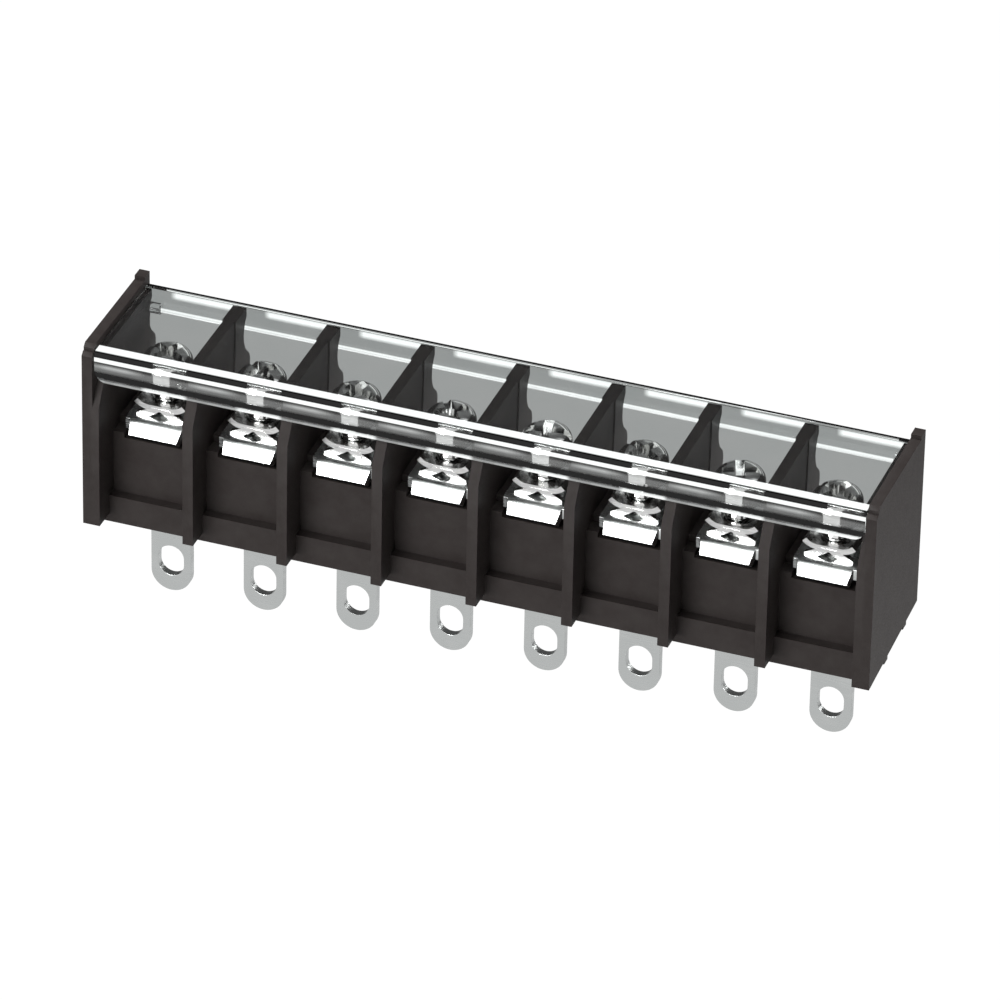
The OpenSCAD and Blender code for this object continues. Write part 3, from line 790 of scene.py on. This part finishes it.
# %% [markdown]
# ## Feet and hole of a clamp
#
# The foot's outline is filled and extruded to the sheet's thickness. Extruding
# leaves the near side open, so a flipped copy of the filled outline closes it. Then
# both feet and the sheet become one solid by a Boolean union, the solid stands up,
# and a cylinder drills the screw's hole. Joining alone would leave walls inside.

# %% Clamp tree: feet and hole
FOOT_PROUD = 0.04 * MM  # how far a foot stands out over the sheet's edge
DRILL_POINTS, DRILL_L = 48, 8 * MM
outline = output_of(clamp_tree, "GeometryNodeMeshToCurve", {"Mesh": given["Geometry"]})
panel = output_of(clamp_tree, "GeometryNodeFillCurve", {"Curve": outline}, mode="NGONS")
extruded = output_of(clamp_tree, "GeometryNodeExtrudeMesh", {
    "Mesh": panel, "Offset Scale": given["Foot Thickness"], "Individual": False})
near_side = output_of(clamp_tree, "GeometryNodeFlipFaces", {"Mesh": panel})
both_sides = add(clamp_tree, "GeometryNodeJoinGeometry")
for part in (extruded, near_side):
    clamp_tree.links.new(part, both_sides.inputs[0])
foot = output_of(clamp_tree, "GeometryNodeMergeByDistance", {
    "Geometry": both_sides.outputs[0], "Distance": SEAM})

face = sum_of("ADD", sum_of("MULTIPLY", given["Depth"], 0.5), FOOT_PROUD)
whole = add(clamp_tree, "GeometryNodeMeshBoolean", {"Self Intersection": True},
            solver="EXACT", operation="UNION")
clamp_tree.links.new(sheet, whole.inputs["Mesh 2"])
for z in (sum_of("SUBTRACT", face, given["Foot Thickness"]), sum_of("MULTIPLY", face, -1.0)):
    moved_foot = output_of(clamp_tree, "GeometryNodeTransform", {
        "Geometry": foot, "Translation": vector_of(clamp_tree, Z=z)})
    clamp_tree.links.new(moved_foot, whole.inputs["Mesh 2"])
upright = output_of(clamp_tree, "GeometryNodeTransform", {
    "Geometry": whole.outputs[0], "Rotation": (math.radians(90), 0.0, 0.0)})
drill = output_of(clamp_tree, "GeometryNodeMeshCylinder", {
    "Vertices": DRILL_POINTS, "Radius": given["Hole Radius"], "Depth": DRILL_L})
drilled = output_of(clamp_tree, "GeometryNodeMeshBoolean", {
    "Mesh 1": upright, "Mesh 2": drill}, solver="EXACT", operation="DIFFERENCE")
place_and_close(clamp_tree, given, out, drilled)

# %% Eight clamps
for n in POLES:
    clamp = grow(f"saddle_clamp_{n}", foot_mesh(f"saddle_clamp_{n}"), clamp_tree, {
        "Place": pole_place(f"clamp_{n}"), "Finish": clamp_plate}, rounding=0.05 * MM)
    stand_for(clamp, f"clamp_{n}", f"clamp_{n}")

# %% [markdown]
# ## The floor
#
# The strip is shown on white, so the floor is white to the camera. More lamps could
# make it so, but they would bleach the object as well. Instead the floor's material
# asks what kind of ray has come: the camera sees plain white, mirrors see a floor
# that gets darker behind the strip, and the clear cover shows a soft grey. Lamplight
# alone meets plain matt paper, which takes the object's shadow. The floor lies well
# under the lugs, so that shadow stays faint.

# %% Floor
FLOOR_HALF, FLOOR_Z = 3.0, -0.045
WHITE = (1, 1, 1, 1)
floor_mesh = bpy.data.meshes.new("studio_floor")
floor_mesh.from_pydata([(x * FLOOR_HALF, y * FLOOR_HALF, FLOOR_Z)
                        for x, y in ((-1, -1), (1, -1), (1, 1), (-1, 1))],
                       [], [(0, 1, 2, 3)])
floor = link("studio_floor", floor_mesh)
paper = bpy.data.materials.new("studio_paper")
paper.use_nodes = True
tree = paper.node_tree
tree.nodes.clear()
rays = add(tree, "ShaderNodeLightPath").outputs
place = add(tree, "ShaderNodeTexCoord").outputs["Object"]
depth = add(tree, "ShaderNodeSeparateXYZ", {0: place}).outputs["Y"]
in_mirrors = remap(tree, depth, 0.06, 0.2, 0.65, 0.05)  # from 6 to 20 cm behind the strip
to_camera = maths(tree, "MULTIPLY", rays["Is Camera Ray"], 0.95)  # the rest shows shadow
step = output_of(tree, "ShaderNodeBsdfDiffuse", {"Color": (0.8, 0.8, 0.8, 1)})
for share, colour, strength in (
        (rays["Is Glossy Ray"], WHITE, in_mirrors),
        (rays["Is Transmission Ray"], (0.385, 0.395, 0.39, 1), 1.0),
        (to_camera, WHITE, 1.03)):
    glow = output_of(tree, "ShaderNodeEmission", {"Color": colour, "Strength": strength})
    step = output_of(tree, "ShaderNodeMixShader", {0: share, 1: step, 2: glow})
add(tree, "ShaderNodeOutputMaterial", {"Surface": step})
floor_mesh.materials.append(paper)
print("floor at", FLOOR_Z, "with", len(tree.nodes), "nodes")

# %% [markdown]
# ## The world
#
# The world does the same for what lies past the floor. For mirrors it is white in
# front and at the sides, and dark behind and straight overhead, as a studio with
# black card there, so that bright metal gets the dark shapes that make it look like
# metal. Lamplight can't find its way through the clear cover, so surfaces under it
# get a wide skylight from above instead. To the camera the world is plain white, and
# for all other light it is nearly black, so that the lamps alone model the shapes.

# %% World
world = bpy.data.worlds.new("studio")
bpy.context.scene.world = world
world.use_nodes = True
tree = world.node_tree
tree.nodes.clear()
rays = add(tree, "ShaderNodeLightPath").outputs
generated = add(tree, "ShaderNodeTexCoord").outputs["Generated"]
direction = add(tree, "ShaderNodeSeparateXYZ", {0: generated}).outputs


def product(first, second):
    return maths(tree, "MULTIPLY", first, second)


# directions are of length 1: Y is 1 straight behind, Z is 1 straight overhead
walls = remap(tree, direction["Y"], 0.45, 0.6, 1.0, 0.1)
mirrors = product(walls, remap(tree, direction["Z"], 0.8, 0.92, 1.0, 0.05))
skylight = product(walls, remap(tree, direction["Z"], 0.3, 0.7, 0.05, 1.6))
under_cover = output_of(tree, "ShaderNodeMix", {
    0: rays["Diffuse Depth"], 2: mirrors, 3: skylight}, data_type="FLOAT", clamp_factor=True)
step = output_of(tree, "ShaderNodeBackground", {"Color": WHITE, "Strength": 0.05})
for share, strength in (("Is Glossy Ray", product(mirrors, 0.85)),
                        ("Is Transmission Ray", under_cover), ("Is Camera Ray", 1.0)):
    light = output_of(tree, "ShaderNodeBackground", {"Color": WHITE, "Strength": strength})
    step = output_of(tree, "ShaderNodeMixShader", {0: rays[share], 1: step, 2: light})
add(tree, "ShaderNodeOutputWorld", {"Surface": step})
print("world: four strengths, by kind of ray, in", len(tree.nodes), "nodes")

# %% [markdown]
# ## Lamps
#
# Four soft boxes light the object at a plain level: one overhead, a larger share
# from the left front, a low one from the right rear for the end wall, and a narrow
# one low in front for the lips and lugs. The cover's rounded edges would mirror them
# as streaks across its painted highlight and shade lines, so light linking leaves
# the cover out of their light.

# %% Soft boxes
SOFT_BOXES = [  # name, place, width and height in metres, and watts
    ("top_box", (0.05, 0.12, 0.6), (0.5, 0.25), 3.3),
    ("front_box", (-0.22, -0.56, 0.55), (0.5, 0.22), 4.9),
    ("right_box", (0.55, 0.35, 0.16), (0.3, 0.2), 1.9),
    ("low_box", (-0.17, -0.57, 0.01), (0.3, 0.05), 1.0)]
not_the_cover = bpy.data.collections.new("not_the_cover")
not_the_cover.objects.link(cover)
not_the_cover.collection_objects[0].light_linking.link_state = "EXCLUDE"
for name, lamp_place, size, watts in SOFT_BOXES:
    lamp = bpy.data.lights.new(name, "AREA")
    lamp.shape = "RECTANGLE"
    lamp.size, lamp.size_y = size
    lamp.energy = watts
    rig = link(name, lamp)
    rig.location = lamp_place
    rig.rotation_mode = "QUATERNION"
    rig.rotation_quaternion = (-Vector(lamp_place)).to_track_quat("-Z", "Y")  # to the origin
    rig.light_linking.receiver_collection = not_the_cover
    print(name, "at", lamp_place, "with", watts, "W")

# %% [markdown]
# ## Camera
#
# The camera stands where the photograph's stood: right of the strip and above it, a
# long way off with a long lens, and turned by a little over a degree. It could be
# aimed by eye, but its three axes and its place come from fitting the strip's known
# corners to the photograph, which is surer.

# %% Camera
RIGHT = Vector((0.93937888, 0.34243793, 0.01742378))
UP = Vector((-0.19711471, 0.49775108, 0.84462397))
BACK = Vector((0.28055858, -0.7968564, 0.5350764))
PLACE = Vector((0.226627, -0.643260, 0.440249))
lens = bpy.data.cameras.new("camera")
lens.sensor_width = 36.0
lens.lens = 309.865
lens.clip_start, lens.clip_end = 0.05, 20.0
camera = link("camera", lens)
camera.matrix_world = Matrix((*zip(RIGHT, UP, BACK, PLACE), (0, 0, 0, 1)))
bpy.context.scene.camera = camera
bpy.context.scene.view_settings.view_transform = "Standard"
print("camera at", tuple(round(v, 4) for v in PLACE), "lens", round(lens.lens, 1), "mm")
